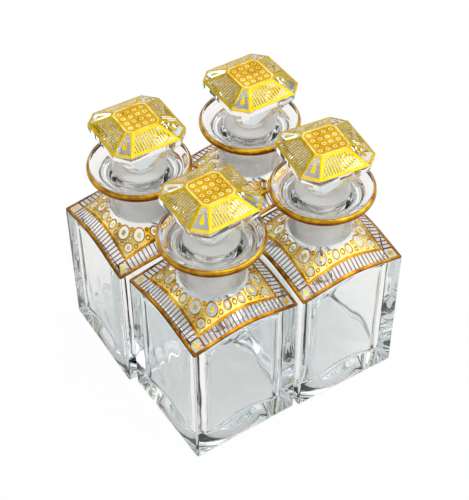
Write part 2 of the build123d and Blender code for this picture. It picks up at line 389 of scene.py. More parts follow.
def ripple(theta, height, share, phase):
    """Unevenness of the blown inside wall, fading out towards the roof and the floor."""
    along = CAVITY_HALF * np.tan((theta + math.pi / 4) % (math.pi / 2) - math.pi / 4)
    side = np.floor((theta + math.pi / 4) / (math.pi / 2)) * SIDE_SHIFT + phase
    sway = UPRIGHT_WAVE_SWAY * np.sin(height / UPRIGHT_WAVE_SWAY_RISE + side)
    wave = UPRIGHT_WAVE * np.sin(along / UPRIGHT_WAVE_RUN + height / UPRIGHT_WAVE_RISE + sway)
    shift = LEVEL_WAVE_SHIFT * side
    wave += LEVEL_WAVE * np.sin(height / LEVEL_WAVE_RISE - along / LEVEL_WAVE_RUN + shift)
    return RIPPLE * wave * math.sin(math.pi * share) ** 0.5


def neck_and_lip_points(foot):
    """Section of the turned glass: up the neck, round the lip's bead and across its dish to the mouth."""
    out, up = NECK_FOOT_EASE
    points = [(NECK_RADIUS + out, float(shoulder_height(foot)) + up)]
    points += [(NECK_RADIUS + out, NECK_FOOT_HEIGHT + up) for out, up in NECK_EASE]
    points += flare_points()
    bead = arc_points(*LIP_BEAD_ANGLES, (LIP_RING_RADIUS, LIP_RING_HEIGHT), LIP_BEAD_RADIUS, BEAD_STEPS)
    points += bead[1:]
    mouth = (MOUTH_RADIUS + MOUTH_EDGE, MOUTH_HEIGHT)
    points += sagitta_points(bead[-1], mouth, DISH_HOLLOW, DISH_STEPS)[1:]
    points += [(MOUTH_RADIUS + MOUTH_EDGE * (1 - math.sin(a)), MOUTH_HEIGHT - MOUTH_EDGE * (1 - math.cos(a)))
               for a in np.radians(MOUTH_EDGE_ANGLES)]
    return points


def flacon_rings(theta, phase):
    """Rings of the flacon's glass from the base's middle, over the lip and down to the cavity's floor.
    Each is (radius, height, zone), with radius and height for every direction of theta."""
    body = square_radius(BODY_HALF, BODY_CORNER, theta)
    room = square_radius(CAVITY_HALF, CAVITY_CORNER, theta)
    rings = []

    def add(radius, height, zone=CLEAR):
        rings.append((radius + 0 * theta, height + 0 * theta, zone))

    for share in BASE_SHARES:
        add((body - BASE_EDGE) * share, 0)
    for a in np.radians(np.linspace(0, 90, BASE_EDGE_STEPS)):
        add(body - BASE_EDGE + BASE_EDGE * math.sin(a), BASE_EDGE * (1 - math.cos(a)))
    brink = shoulder_height(body - SHOULDER_EDGE) - SHOULDER_EDGE * SHOULDER_EDGE_SHARE
    for share in OUTER_WALL_SHARES:
        add(body, BASE_EDGE + (brink - BASE_EDGE) * share)
    for a in np.radians(np.linspace(0, SHOULDER_EDGE_SWEEP, SHOULDER_EDGE_STEPS)):
        add(body - SHOULDER_EDGE * (1 - math.cos(a)), brink + SHOULDER_EDGE * math.sin(a))
    start = body - SHOULDER_EDGE
    neck_foot = NECK_RADIUS + NECK_FOOT_FILLET * NECK_FOOT_SHARE
    for share in np.linspace(0, 1, SHOULDER_STEPS):
        radius = start + (neck_foot - start) * share
        add(radius, shoulder_height(radius))

    for radius, height in neck_and_lip_points(neck_foot):
        add(radius, height)
    bore_foot = float(shoulder_height(NECK_RADIUS - BORE_FOOT_INSET, SHOULDER_WALL))
    for height in np.linspace(MOUTH_HEIGHT - MOUTH_EDGE, bore_foot + BORE_FOOT_LIFT, BORE_STEPS):
        add(ground_radius(height), height, GROUND if height < GROUND_TOP else CLEAR)
    inner = ground_radius(bore_foot)
    out, down = BORE_FOOT_EASE
    add(inner + out, shoulder_height(inner, SHOULDER_WALL) - down)

    roof_end = room - ROOF_EDGE
    for share in np.linspace(ROOF_START_SHARE, 1, ROOF_STEPS):
        radius = inner + (roof_end - inner) * share
        add(radius, shoulder_height(radius, SHOULDER_WALL))
    roof = shoulder_height(roof_end, SHOULDER_WALL)
    for a in np.radians(np.linspace(ROOF_EDGE_START_ANGLE, 90, ROOF_EDGE_STEPS)):
        add(roof_end + ROOF_EDGE * math.sin(a), roof - ROOF_EDGE * (1 - math.cos(a)) - ROOF_EDGE_DROP)
    top = roof - ROOF_EDGE - ROOF_EDGE_DROP
    foot = dome_height(room)
    low = foot + CAVITY_FLOOR_EDGE
    for share in np.linspace(0, 1, INNER_WALL_STEPS)[1:-1]:
        height = top + (low - top) * share
        add(room + ripple(theta, height, share, phase), height)
    inside = room - CAVITY_FLOOR_EDGE
    for t in np.linspace(0, 1, FLOOR_EDGE_STEPS):
        add(room + (inside - room) * t * t,
            low * (1 - t) ** 2 + 2 * foot * t * (1 - t) + dome_height(inside) * t * t)
    for share in FLOOR_SHARES:
        add(inside * share, dome_height(inside * share))
    return rings


def lofted(rings, first_pole, last_pole):
    """Closed skin through equal rings of points, with a pole at each end."""
    count = len(rings[0])
    points = [first_pole] + [tuple(p) for ring in rings for p in ring] + [last_pole]
    faces, last = [], len(points) - 1
    for k in range(count):
        faces.append((0, 1 + (k + 1) % count, 1 + k))
    for level in range(len(rings) - 1):
        base = 1 + level * count
        for k in range(count):
            n = (k + 1) % count
            faces.append((base + k, base + n, base + count + n, base + count + k))
    base = 1 + (len(rings) - 1) * count
    for k in range(count):
        faces.append((base + k, base + (k + 1) % count, last))
    return points, faces


def add_piece(name, points, faces, materials, zones, matrix, smooth=True):
    """Mesh object from points in millimetres, placed in the frame. Zones give each face its material."""
    mesh = bpy.data.meshes.new(name)
    mesh.from_pydata([(x * MM, y * MM, z * MM) for x, y, z in points], [], faces)
    mesh.transform(matrix)
    for material in materials:
        mesh.materials.append(material)
    mesh.polygons.foreach_set("use_smooth", [smooth] * len(faces))
    mesh.polygons.foreach_set("material_index", zones)
    mesh.validate()
    piece = bpy.data.objects.new(name, mesh)
    bpy.context.scene.collection.objects.link(piece)
    return piece


def add_glass(flacon, part, rings, zones, poles, glasses):
    """Glass of a flacon or a stopper as one lofted skin. A strip is ground where both of its rings are."""
    points, faces = lofted(rings, *poles)
    strips = [CLEAR] + [min(pair) for pair in zip(zones, zones[1:])] + [CLEAR]
    strip_zones = np.repeat(strips, len(rings[0])).tolist()
    matrix = place(flacon, part == "stopper")
    piece = add_piece(f"{flacon}_{part}", points, faces, glasses, strip_zones, matrix)
    # Flat faces keep flat reflections, and the narrow rounded strips between them blend
    modifier = piece.modifiers.new("face weighted normals", "WEIGHTED_NORMAL")
    modifier.weight = 90
    modifier.keep_sharp = False
    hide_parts(f"{flacon}_{part}_glass")
    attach(piece, f"{flacon}_{part}")


def make_flacon(flacon, glasses):
    theta = corner_rich_angles(*GLASS_SIDE_STEPS)
    rings = flacon_rings(theta, NAMES.index(flacon))
    cos, sin = np.cos(theta), np.sin(theta)
    loops = [np.stack([radius * cos, radius * sin, height], 1) for radius, height, _ in rings]
    zones = [zone for _, _, zone in rings]
    poles = (0, 0, 0), (0, 0, CAVITY_FLOOR + CAVITY_DOME_RISE)
    add_glass(flacon, "flacon", loops, zones, poles, glasses)


def quarter_turns(outlines):
    """The same outlines on the four sides of a square."""
    turned = []
    for c, s in ((1, 0), (0, 1), (-1, 0), (0, -1)):
        turned += [[(c * x - s * y, s * x + c * y) for x, y in outline] for outline in outlines]
    return turned


def octagon_points(half, cut, edge, per_side=3):
    """Outline of a square with cut corners, each of its eight corners eased by a narrow chamfer."""
    turned = quarter_turns([[(half, half - cut), (half - cut, half)]])
    corners = [np.array(corner) for pair in turned for corner in pair]
    points = []
    for a, b in zip(corners, corners[1:] + corners[:1]):
        run = (b - a) / np.linalg.norm(b - a)
        start, end = a + edge * run, b - edge * run
        points += [start + (end - start) * share for share in np.linspace(0, 1, per_side + 1)]
    return np.array(points)


def make_stopper(flacon, glasses):
    """A round ground plug, an octagonal waist, and a head with eight facets below and above its girdle."""
    waist = octagon_points(WAIST_RADIUS, WAIST_RADIUS * (2 - math.sqrt(2)), FACET_EDGE)
    circle = waist / np.linalg.norm(waist, axis=1)[:, None]
    girdle = octagon_points(GIRDLE_HALF, GIRDLE_CUT, FACET_EDGE)
    table = octagon_points(TABLE_HALF, TABLE_CUT, FACET_EDGE)
    rings, zones = [], []

    def add(outline, height, zone=CLEAR):
        rings.append(np.column_stack([outline, np.full(len(outline), height)]))
        zones.append(zone)

    def add_facets(low, low_height, high, high_height, shares):
        for share in shares:
            add(low + (high - low) * share, low_height + (high_height - low_height) * share)

    plug_foot = MOUTH_HEIGHT - PLUG_DEPTH
    foot_radius = ground_radius(plug_foot) - PLUG_CLEARANCE
    add(circle * foot_radius * PLUG_FOOT_SHARE, plug_foot)
    for a in np.radians(np.linspace(0, PLUG_FOOT_SWEEP, PLUG_FOOT_STEPS)):
        add(circle * (foot_radius - PLUG_FOOT_EDGE + PLUG_FOOT_EDGE * math.sin(a)),
            plug_foot + PLUG_FOOT_EDGE * (1 - math.cos(a)), GROUND)
    for height in np.linspace(plug_foot + PLUG_FOOT_LIFT, PLUG_TOP_HEIGHT - PLUG_TOP_EDGE, PLUG_STEPS):
        add(circle * (ground_radius(height) - PLUG_CLEARANCE), height, GROUND)
    top_radius = ground_radius(PLUG_TOP_HEIGHT) - PLUG_CLEARANCE - PLUG_TOP_EDGE
    for a in np.radians(PLUG_TOP_EDGE_ANGLES):
        add(circle * (top_radius + PLUG_TOP_EDGE * math.cos(a)),
            PLUG_TOP_HEIGHT - PLUG_TOP_EDGE * (1 - math.sin(a)), GROUND)
    for share in SHELF_SHARES:
        add(circle * (top_radius + (WAIST_RADIUS - top_radius) * share),
            PLUG_TOP_HEIGHT + SHELF_RISE * share, GROUND)
    out, up = WAIST_FOOT_EASE
    add(circle * (WAIST_RADIUS + out), PLUG_TOP_HEIGHT + up, GROUND)
    add(waist, WAIST_HEIGHT)
    add_facets(waist, WAIST_HEIGHT, girdle, GIRDLE_BOTTOM, PAVILION_SHARES)
    add(girdle, GIRDLE_BOTTOM + FACET_EDGE)
    add(girdle, GIRDLE_TOP - FACET_EDGE)
    add_facets(girdle, GIRDLE_TOP, table, TABLE_HEIGHT, CROWN_SHARES)
    add(table * TABLE_EDGE_SHARE, TABLE_HEIGHT)
    poles = (0, 0, plug_foot), (0, 0, TABLE_HEIGHT)
    add_glass(flacon, "stopper", rings, zones, poles, glasses)


def circle_points(x, y, radius, steps):
    angles = np.linspace(0, 2 * math.pi, steps, endpoint=False)
    return [(x + radius * math.cos(a), y + radius * math.sin(a)) for a in angles]


def rectangle_points(x1, y1, x2, y2):
    """Outline of a rectangle, with points along its sides so that the film bends with the glass."""
    points = []
    corners = [(x1, y1), (x2, y1), (x2, y2), (x1, y2)]
    for (ax, ay), (bx, by) in zip(corners, corners[1:] + corners[:1]):
        steps = max(1, round(math.hypot(bx - ax, by - ay) / OUTLINE_PITCH))
        points += [(ax + (bx - ax) * k / steps, ay + (by - ay) * k / steps) for k in range(steps)]
    return points


def square_points(half):
    return rectangle_points(-half, -half, half, half)


def rounded_square_points(half, corner, theta):
    radius = square_radius(half, corner, theta)
    return list(zip(radius * np.cos(theta), radius * np.sin(theta)))


def grid_points(reach, step):
    """Points between a film's outlines, so that it bends with the glass there too."""
    steps = np.arange(-reach, reach + GRID_SLACK, step).tolist()
    return [(x, y) for x in steps for y in steps]


def covered(x, y, outlines):
    """Whether each point lies inside any of the closed outlines."""
    hit = np.zeros(len(x), bool)
    for outline in outlines:
        corners = np.array(outline)
        low, high = corners.min(axis=0), corners.max(axis=0)
        near = np.flatnonzero((x > low[0]) & (x < high[0]) & (y > low[1]) & (y < high[1]))
        odd = np.zeros(len(near), bool)
        for (x1, y1), (x2, y2) in zip(corners, np.roll(corners, -1, axis=0)):
            if y1 != y2:
                level = (y1 > y[near]) != (y2 > y[near])
                odd ^= level & (x[near] < (x2 - x1) * (y[near] - y1) / (y2 - y1) + x1)
        hit[near] |= odd
    return hit


def painted(x, y, edge, ground, layers):
    """The gold at each point: the ground inside the edge, and each layer's gold over the ones before it."""
    zone = np.full(len(x), ground)
    for outlines, gold in layers:
        zone = np.where(covered(x, y, outlines), gold, zone)
    return np.where(covered(x, y, edge), zone, BARE)


def leaf_film(outlines, grid, gold_at, under, over):
    """Thin gilt film from plan outlines, as two skins with walls between them.
    gold_at gives each triangle its material's place, or BARE where it has none."""
    points, edges = [], []
    for outline in outlines:
        start, count = len(points), len(outline)
        points += [tuple(p) for p in outline]
        edges += [(start + k, start + (k + 1) % count) for k in range(count)]
    corners = [Vector(p) for p in points + grid]
    flat, _, triangles, _, _, _ = delaunay_2d_cdt(corners, edges, [], 0, MERGE_DISTANCE)
    plan = np.array([tuple(p) for p in flat])
    triangles = np.array(triangles)
    middle = plan[triangles].mean(axis=1)
    zones = gold_at(middle[:, 0], middle[:, 1])
    triangles, zones = triangles[zones != BARE], zones[zones != BARE].tolist()
    used, renumbered = np.unique(triangles, return_inverse=True)
    triangles, plan = renumbered.reshape(-1, 3), plan[used]
    count = len(plan)
    upper = np.column_stack([plan, over(plan[:, 0], plan[:, 1])])
    lower = np.column_stack([plan, under(plan[:, 0], plan[:, 1])])
    faces = triangles.tolist() + (triangles[:, ::-1] + count).tolist()
    owner = {}
    for k, (a, b, c) in enumerate(triangles.tolist()):
        owner.update({(a, b): k, (b, c): k, (c, a): k})
    rim = [(edge, k) for edge, k in owner.items() if edge[::-1] not in owner]
    faces += [(a, a + count, b + count, b) for (a, b), _ in rim]
    return np.vstack([upper, lower]).tolist(), faces, zones * 2 + [zones[k] for _, k in rim]


def ring_places():
    """Rings round the neck, and smaller ones between them, as (x, y, outer radius)."""
    quarter = [(reach * math.cos(math.radians(turn)), reach * math.sin(math.radians(turn)), size)
               for turn, reach, size in NECK_RINGS]
    quarter += CORNER_RINGS
    sizes = [size for _, _, size in quarter]
    turned = quarter_turns([[(x, y) for x, y, _ in quarter]])
    return [(x, y, size) for corner in turned for (x, y), size in zip(corner, sizes)]


def bubble_places(reach, rings):
    """Small openings of mixed sizes that fill the field between the rings, as (x, y, radius)."""
    rng = np.random.default_rng(BUBBLE_SEED)
    bubbles, taken = [], list(rings)
    steps = np.arange(-reach, reach, BUBBLE_SPACING)
    for x0 in steps:
        for y0 in steps:
            x = x0 + rng.uniform(-BUBBLE_JITTER, BUBBLE_JITTER)
            y = y0 + rng.uniform(-BUBBLE_JITTER, BUBBLE_JITTER)
            opening = rng.uniform(*BUBBLE_OPENINGS)
            radius = opening + BUBBLE_RIM
            free = all(math.hypot(x - cx, y - cy) > size + radius for cx, cy, size in taken)
            if free and math.hypot(x, y) > BRINK_RADIUS + radius and max(abs(x), abs(y)) < reach - radius:
                bubbles.append((x, y, opening))
                taken.append((x, y, radius))
    return bubbles


def shoulder_film():
    """The gilding of one shoulder: border, bars, corner windows with dots, and the field of rings."""
    edge = BODY_HALF - BORDER_MARGIN
    zone_outer = edge - BORDER_BAND
    zone_inner = zone_outer - BAR_ZONE
    band_edge = zone_inner - INNER_BAND
    window_inner = zone_outer - CORNER_WINDOW
    bars_half = window_inner - BAR_WIDTH
    pitch = 2 * bars_half / (BAR_COUNT + 1)
    theta = corner_rich_angles(*FILM_SIDE_STEPS)
    corner = BODY_CORNER - BORDER_MARGIN
    border = [rounded_square_points(edge, corner, theta)]
    border_line = [rounded_square_points(edge - BORDER_LINE, corner - BORDER_LINE, theta)]
    bar_zone, band, field = ([square_points(half)] for half in (zone_outer, zone_inner, band_edge))
    lows = [-bars_half + k * pitch + BAR_WIDTH / 2 for k in range(BAR_COUNT + 1)]
    slots = [rectangle_points(zone_inner, low, zone_outer, low + pitch - BAR_WIDTH) for low in lows]
    window = rectangle_points(window_inner, window_inner, zone_outer, zone_outer)
    rings = ring_places()
    bubbles = bubble_places(band_edge, rings)
    holes = quarter_turns(slots + [window]) + [circle_points(*bubble, BUBBLE_STEPS) for bubble in bubbles]
    feet, openings, crests, dots = (
        [circle_points(x, y, size * share - line, RING_STEPS) for x, y, size in rings]
        for share, line in ((1, 0), (1, RING_LINE), (1, RING_LINE / 2), (RING_DOT_SHARE, 0)))
    feet += [circle_points(x, y, opening + BUBBLE_RIM, BUBBLE_FOOT_STEPS) for x, y, opening in bubbles]
    dot = zone_outer - CORNER_WINDOW / 2
    dots += quarter_turns([circle_points(dot, dot, CORNER_DOT, RING_STEPS)])
    brink = [circle_points(0, 0, BRINK_RADIUS, BRINK_STEPS)]
    layers = (
        (border_line, FRAME_GOLD), (bar_zone, LINE_GOLD), (band, FRAME_GOLD), (field, FIELD_GOLD),
        (brink, BARE), (feet, FRAME_GOLD), (holes + openings, BARE), (dots, FIELD_GOLD),
    )

    def gold_at(x, y):
        # Past the border's line, and on the bars, the gold is the dark one
        return painted(x, y, border, LINE_GOLD, layers)

    def over(x, y):
        to_crest = [np.abs(np.hypot(x - cx, y - cy) - size + RING_LINE / 2) for cx, cy, size in rings]
        ridge = RING_RIDGE * np.exp(-((np.min(to_crest, axis=0) / RING_RIDGE_WIDTH) ** 2))
        return shoulder_height(np.hypot(x, y), -FILM_SEAT - FILM) + ridge

    def under(x, y):
        return shoulder_height(np.hypot(x, y), -FILM_SEAT)

    grid = [(x, y) for x, y in grid_points(*SHOULDER_GRID) if math.hypot(x, y) > BRINK_RADIUS]
    outlines = border + border_line + bar_zone + band + field
    outlines += holes + openings + crests + feet + dots + brink
    return leaf_film(outlines, grid, gold_at, under, over)


def crown_height(x, y):
    """Height of the head's glass over points of its plan: eight sloping facets round a flat table."""
    rise = TABLE_HEIGHT - GIRDLE_TOP
    side = (GIRDLE_HALF - np.maximum(np.abs(x), np.abs(y))) / (GIRDLE_HALF - TABLE_HALF)
    corner = (2 * GIRDLE_HALF - GIRDLE_CUT - np.abs(x) - np.abs(y)) / (
        2 * GIRDLE_HALF - GIRDLE_CUT - 2 * TABLE_HALF + TABLE_CUT)
    return GIRDLE_TOP + rise * np.clip(np.minimum(side, corner), 0, 1)


def head_slots():
    """Openings between the bars of the facet that faces +X. Their inner ends follow the facet's edges."""
    girdle_flat, table_flat = GIRDLE_HALF - GIRDLE_CUT, TABLE_HALF - TABLE_CUT
    spread = (girdle_flat - table_flat) / (GIRDLE_HALF - TABLE_HALF)
    margin = HEAD_BAND * math.hypot(1, spread)
    inner, outer = TABLE_HALF + HEAD_BAND, GIRDLE_HALF - HEAD_BAND
    half_outer = girdle_flat - spread * HEAD_BAND - margin
    pitch = 2 * half_outer / (HEAD_BAR_COUNT + 1)
    slots = []
    for k in range(HEAD_BAR_COUNT + 1):
        low = -half_outer + k * pitch + HEAD_BAR_WIDTH / 2
        high = low + pitch - HEAD_BAR_WIDTH
        start_low, start_high = (
            max(inner, TABLE_HALF + (abs(v) + margin - table_flat) / spread) for v in (low, high))
        slots.append([(start_low, low), (outer, low), (outer, high), (start_high, high)])
    return slots


def head_corner():
    """Window of the corner facet between +X and +Y, and the drop that lies loose in it."""
    inner = (2 * TABLE_HALF - TABLE_CUT) / math.sqrt(2) + HEAD_BAND
    outer = (2 * GIRDLE_HALF - GIRDLE_CUT) / math.sqrt(2) - HEAD_BAND
    half_in = TABLE_CUT / math.sqrt(2) - HEAD_BAND / 2
    half_out = GIRDLE_CUT / math.sqrt(2) - HEAD_BAND / 2
    window = [(inner, -half_in), (outer, -half_out), (outer, half_out), (inner, half_in)]
    middle = (inner + outer) / 2 + DROP_LENGTH / 2 - DROP_RADIUS
    drop = [(middle + DROP_RADIUS - DROP_LENGTH, 0)]
    sweep = math.acos(DROP_RADIUS / (DROP_LENGTH - DROP_RADIUS))
    drop += [(middle - DROP_RADIUS * math.cos(a), DROP_RADIUS * math.sin(a))
             for a in np.linspace(-sweep, sweep - 2 * math.pi, DROP_STEPS)]
    turn = math.sqrt(0.5)
    return [[((u - v) * turn, (u + v) * turn) for u, v in outline] for outline in (window, drop)]


def crown_film():
    """The gilding of one head: table with rings, bands along the facets, bars, and drops at the corners."""
    window, drop = head_corner()
    holes, drops = quarter_turns(head_slots() + [window]), quarter_turns([drop])
    frame_cut = TABLE_CUT - TABLE_FRAME_CUT_SHARE * TABLE_FRAME
    edge, table, field = (
        [octagon_points(half, cut, HEAD_FILM_CORNER, steps).tolist()]
        for half, cut, steps in (
            (GIRDLE_HALF, GIRDLE_CUT, GIRDLE_SIDE_STEPS),
            (TABLE_HALF, TABLE_CUT, TABLE_SIDE_STEPS),
            (TABLE_HALF - TABLE_FRAME, frame_cut, TABLE_SIDE_STEPS)))
    places = [(k - (TABLE_RING_ROWS - 1) / 2) * TABLE_RING_PITCH for k in range(TABLE_RING_ROWS)]
    centres = [(x, y) for x in places for y in places]
    half_line = TABLE_RING_LINE / 2
    rings_out, rings_in, eyes = (
        [circle_points(x, y, radius, TABLE_RING_STEPS) for x, y in centres]
        for radius in (TABLE_RING + half_line, TABLE_RING - half_line, TABLE_RING * TABLE_EYE_SHARE))
    layers = ((table, HEAD_PALE), (field, HEAD_TABLE), (rings_out, HEAD_RING), (rings_in, HEAD_PALE),
              (eyes, HEAD_RING), (holes, BARE), (drops, HEAD_FACET))

    def gold_at(x, y):
        return painted(x, y, edge, HEAD_FACET, layers)

    def over(x, y):
        away = np.min([np.hypot(x - cx, y - cy) for cx, cy in centres], axis=0)
        dent = TABLE_RING_DENT * np.exp(-(((away - TABLE_RING) / half_line) ** 2))
        return crown_height(x, y) + FILM_SEAT + FILM - dent

    def under(x, y):
        return crown_height(x, y) + FILM_SEAT

    girdle_flat, table_flat = GIRDLE_HALF - GIRDLE_CUT, TABLE_HALF - TABLE_CUT
    ridges = quarter_turns([[(TABLE_HALF, table_flat), (GIRDLE_HALF, girdle_flat)],
                            [(table_flat, TABLE_HALF), (girdle_flat, GIRDLE_HALF)]])
    outlines = edge + table + field + holes + drops + rings_out + rings_in + eyes + ridges
    return leaf_film(outlines, grid_points(*HEAD_GRID), gold_at, under, over)


def lip_film():
    """The gilding round the lip's bead, as a ring with a closed section. Its lower part is a darker gold,
    painted shade for the bead's underside.
    """
    start, end = LIP_FILM_ANGLES
    centre = (LIP_RING_RADIUS, LIP_RING_HEIGHT)
    section = arc_points(start, end, centre, LIP_BEAD_RADIUS + FILM_SEAT + FILM, LIP_SECTION_STEPS)
    section += arc_points(end, start, centre, LIP_BEAD_RADIUS + FILM_SEAT, LIP_SECTION_STEPS)
    count = len(section)
    points, faces = [], []
    for k in range(LIP_ROUND_STEPS):
        a = 2 * math.pi * k / LIP_ROUND_STEPS
        points += [(radius * math.cos(a), radius * math.sin(a), height) for radius, height in section]
    for k in range(LIP_ROUND_STEPS):
        this, after = k * count, (k + 1) % LIP_ROUND_STEPS * count
        for j in range(count):
            n = (j + 1) % count
            faces.append((this + j, after + j, after + n, this + n))
    # Points of the section below the shade's angle, on both skins, take the dark gold as painted shade
    dark = round(LIP_SECTION_STEPS * (LIP_PAINTED_SHADE_ANGLE - start) / (end - start))
    bright = range(dark, count - dark)
    zones = [LIP_LIT if j in bright else LIP_PAINTED_SHADE for j in range(count)]
    return points, faces, zones * LIP_ROUND_STEPS


def make_gilding(flacon, part, film, golds, smooth=False):
    """Gilding of a flacon's shoulder or lip, or of its stopper's head."""
    on_stopper = part == "head"
    points, faces, zones = film
    piece = add_piece(f"{flacon}_{part}_gilt", points, faces, golds, zones, place(flacon, on_stopper), smooth)
    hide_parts(f"{flacon}_stopper_gilding" if on_stopper else f"{flacon}_{part}_gilding")
    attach(piece, f"{flacon}_stopper" if on_stopper else f"{flacon}_flacon")


def new_material(name):
    material = bpy.data.materials.new(name)
    material.use_nodes = True
    nodes = material.node_tree.nodes
    nodes.clear()
    return material, nodes, material.node_tree.links


def node(nodes, kind, **values):
    """A shader node with its properties set and its sockets given by name."""
    made = nodes.new(kind)
    for key, value in values.items():
        if hasattr(made, key):
            setattr(made, key, value)
        else:
            made.inputs[key.replace("_", " ")].default_value = value
    return made


def mixed(nodes, links, share, first, second):
    """Output of two shaders mixed: the first where the share is 0, the second where it is 1."""
    mix = nodes.new("ShaderNodeMixShader")
    links.new(share, mix.inputs["Fac"])
    links.new(first, mix.inputs[1])
    links.new(second, mix.inputs[2])
    return mix.outputs["Shader"]


def grained(nodes, links, coordinates, grain, under=None):
    """Normal of a surface with fine noise on it, over another such normal if one is given."""
    scale, detail, strength, height = grain
    noise = node(nodes, "ShaderNodeTexNoise", Scale=scale, Detail=detail)
    links.new(coordinates, noise.inputs["Vector"])
    raised = node(nodes, "ShaderNodeBump", Strength=strength, Distance=height)
    links.new(noise.outputs["Fac"], raised.inputs["Height"])
    if under is not None:
        links.new(under, raised.inputs["Normal"])
    return raised.outputs["Normal"]


def glass_material(name, tint, roughness=0.0, clearness=1.0, grain=None):
    """Clear or ground crystal. Lamps pass through it, so that the inside isn't left in the dark."""
    material, nodes, links = new_material(name)
    shader = node(nodes, "ShaderNodeBsdfPrincipled", Base_Color=tint, Roughness=roughness, IOR=1.53,
                  Transmission_Weight=clearness)
    if grain is not None:
        coordinates = nodes.new("ShaderNodeTexCoord").outputs["Object"]
        links.new(grained(nodes, links, coordinates, grain), shader.inputs["Normal"])
    through = node(nodes, "ShaderNodeBsdfTransparent", Color=SHADOW_TINT)
    in_shadow = nodes.new("ShaderNodeLightPath").outputs["Is Shadow Ray"]
    surface = mixed(nodes, links, in_shadow, shader.outputs["BSDF"], through.outputs["BSDF"])
    links.new(surface, nodes.new("ShaderNodeOutputMaterial").inputs["Surface"])
    return material


def gold_material(name, deep, bright, roughness, cover=1.0):
    """Fired and burnished gold: cloudy colour and polish, small pits and a film of uneven thickness.
    Cover under 1 lets the glass through."""
    material, nodes, links = new_material(name)
    shader = node(nodes, "ShaderNodeBsdfPrincipled", Metallic=1.0, Alpha=cover)
    coordinates = nodes.new("ShaderNodeTexCoord").outputs["Object"]
    clouds = node(nodes, "ShaderNodeTexNoise", Scale=140.0, Detail=4.0, Roughness=0.6)
    links.new(coordinates, clouds.inputs["Vector"])
    cloud_start, cloud_end = GOLD_CLOUD_EDGES
    spread = node(nodes, "ShaderNodeMapRange", From_Min=cloud_start, From_Max=cloud_end)
    links.new(clouds.outputs["Fac"], spread.inputs["Value"])
    colour = node(nodes, "ShaderNodeMix", data_type="RGBA", A=deep, B=bright)
    links.new(spread.outputs["Result"], colour.inputs["Factor"])
    links.new(colour.outputs["Result"], shader.inputs["Base Color"])
    finest, coarsest = (roughness * share for share in GOLD_POLISH)
    polish = node(nodes, "ShaderNodeMapRange", To_Min=finest, To_Max=coarsest)
    links.new(clouds.outputs["Fac"], polish.inputs["Value"])
    links.new(polish.outputs["Result"], shader.inputs["Roughness"])
    pitted = grained(nodes, links, coordinates, GOLD_PITS)
    uneven = grained(nodes, links, coordinates, GOLD_WAVES, under=pitted)
    links.new(uneven, shader.inputs["Normal"])
    links.new(shader.outputs["BSDF"], nodes.new("ShaderNodeOutputMaterial").inputs["Surface"])
    return material


def floor_material():
    """Floor that the camera sees white with a soft shadow, and glass sees greyer near the set, as painted
    shadow.
    """
    material, nodes, links = new_material("pale floor")
    matt = node(nodes, "ShaderNodeBsdfPrincipled", Base_Color=FLOOR_COLOUR, Roughness=0.9)
    path = nodes.new("ShaderNodeLightPath")
    hue = node(nodes, "ShaderNodeMix", data_type="RGBA", A=FLOOR_COLOUR_IN_GLASS, B=WHITE)
    links.new(path.outputs["Is Camera Ray"], hue.inputs["Factor"])
    glow = node(nodes, "ShaderNodeEmission", Strength=1.0)
    links.new(hue.outputs["Result"], glow.inputs["Color"])
    away = node(nodes, "ShaderNodeVectorMath", operation="LENGTH")
    links.new(nodes.new("ShaderNodeTexCoord").outputs["Object"], away.inputs[0])
    # Through glass the floor glows less towards the set's middle: a painted shadow round the set
    near, far = FLOOR_SHADE_REACH
    near_share, far_share = FLOOR_GLOW_IN_GLASS
    glow_share_with_painted_shadow = node(nodes, "ShaderNodeMapRange", interpolation_type="SMOOTHSTEP",
                       From_Min=near, From_Max=far, To_Min=near_share, To_Max=far_share)
    links.new(away.outputs["Value"], glow_share_with_painted_shadow.inputs["Value"])
    glass_share = node(nodes, "ShaderNodeMath", operation="MULTIPLY")
    links.new(path.outputs["Is Transmission Ray"], glass_share.inputs[0])
    links.new(glow_share_with_painted_shadow.outputs["Result"], glass_share.inputs[1])
    share = node(nodes, "ShaderNodeMath", operation="MULTIPLY_ADD")
    links.new(path.outputs["Is Camera Ray"], share.inputs[0])
    share.inputs[1].default_value = FLOOR_GLOW
    links.new(glass_share.outputs["Value"], share.inputs[2])
    surface = mixed(nodes, links, share.outputs["Value"], matt.outputs["BSDF"], glow.outputs["Emission"])
    links.new(surface, nodes.new("ShaderNodeOutputMaterial").inputs["Surface"])
    return material


def make_floor():
    mesh = bpy.data.meshes.new("floor")
    corners = [(x * FLOOR_HALF, y * FLOOR_HALF, 0) for x, y in ((-1, -1), (1, -1), (1, 1), (-1, 1))]
    mesh.from_pydata(corners, [], [(0, 1, 2, 3)])
    mesh.materials.append(floor_material())
    floor = bpy.data.objects.new("floor", mesh)
    floor.location.z = -FLOOR_DROP
    bpy.context.scene.collection.objects.link(floor)


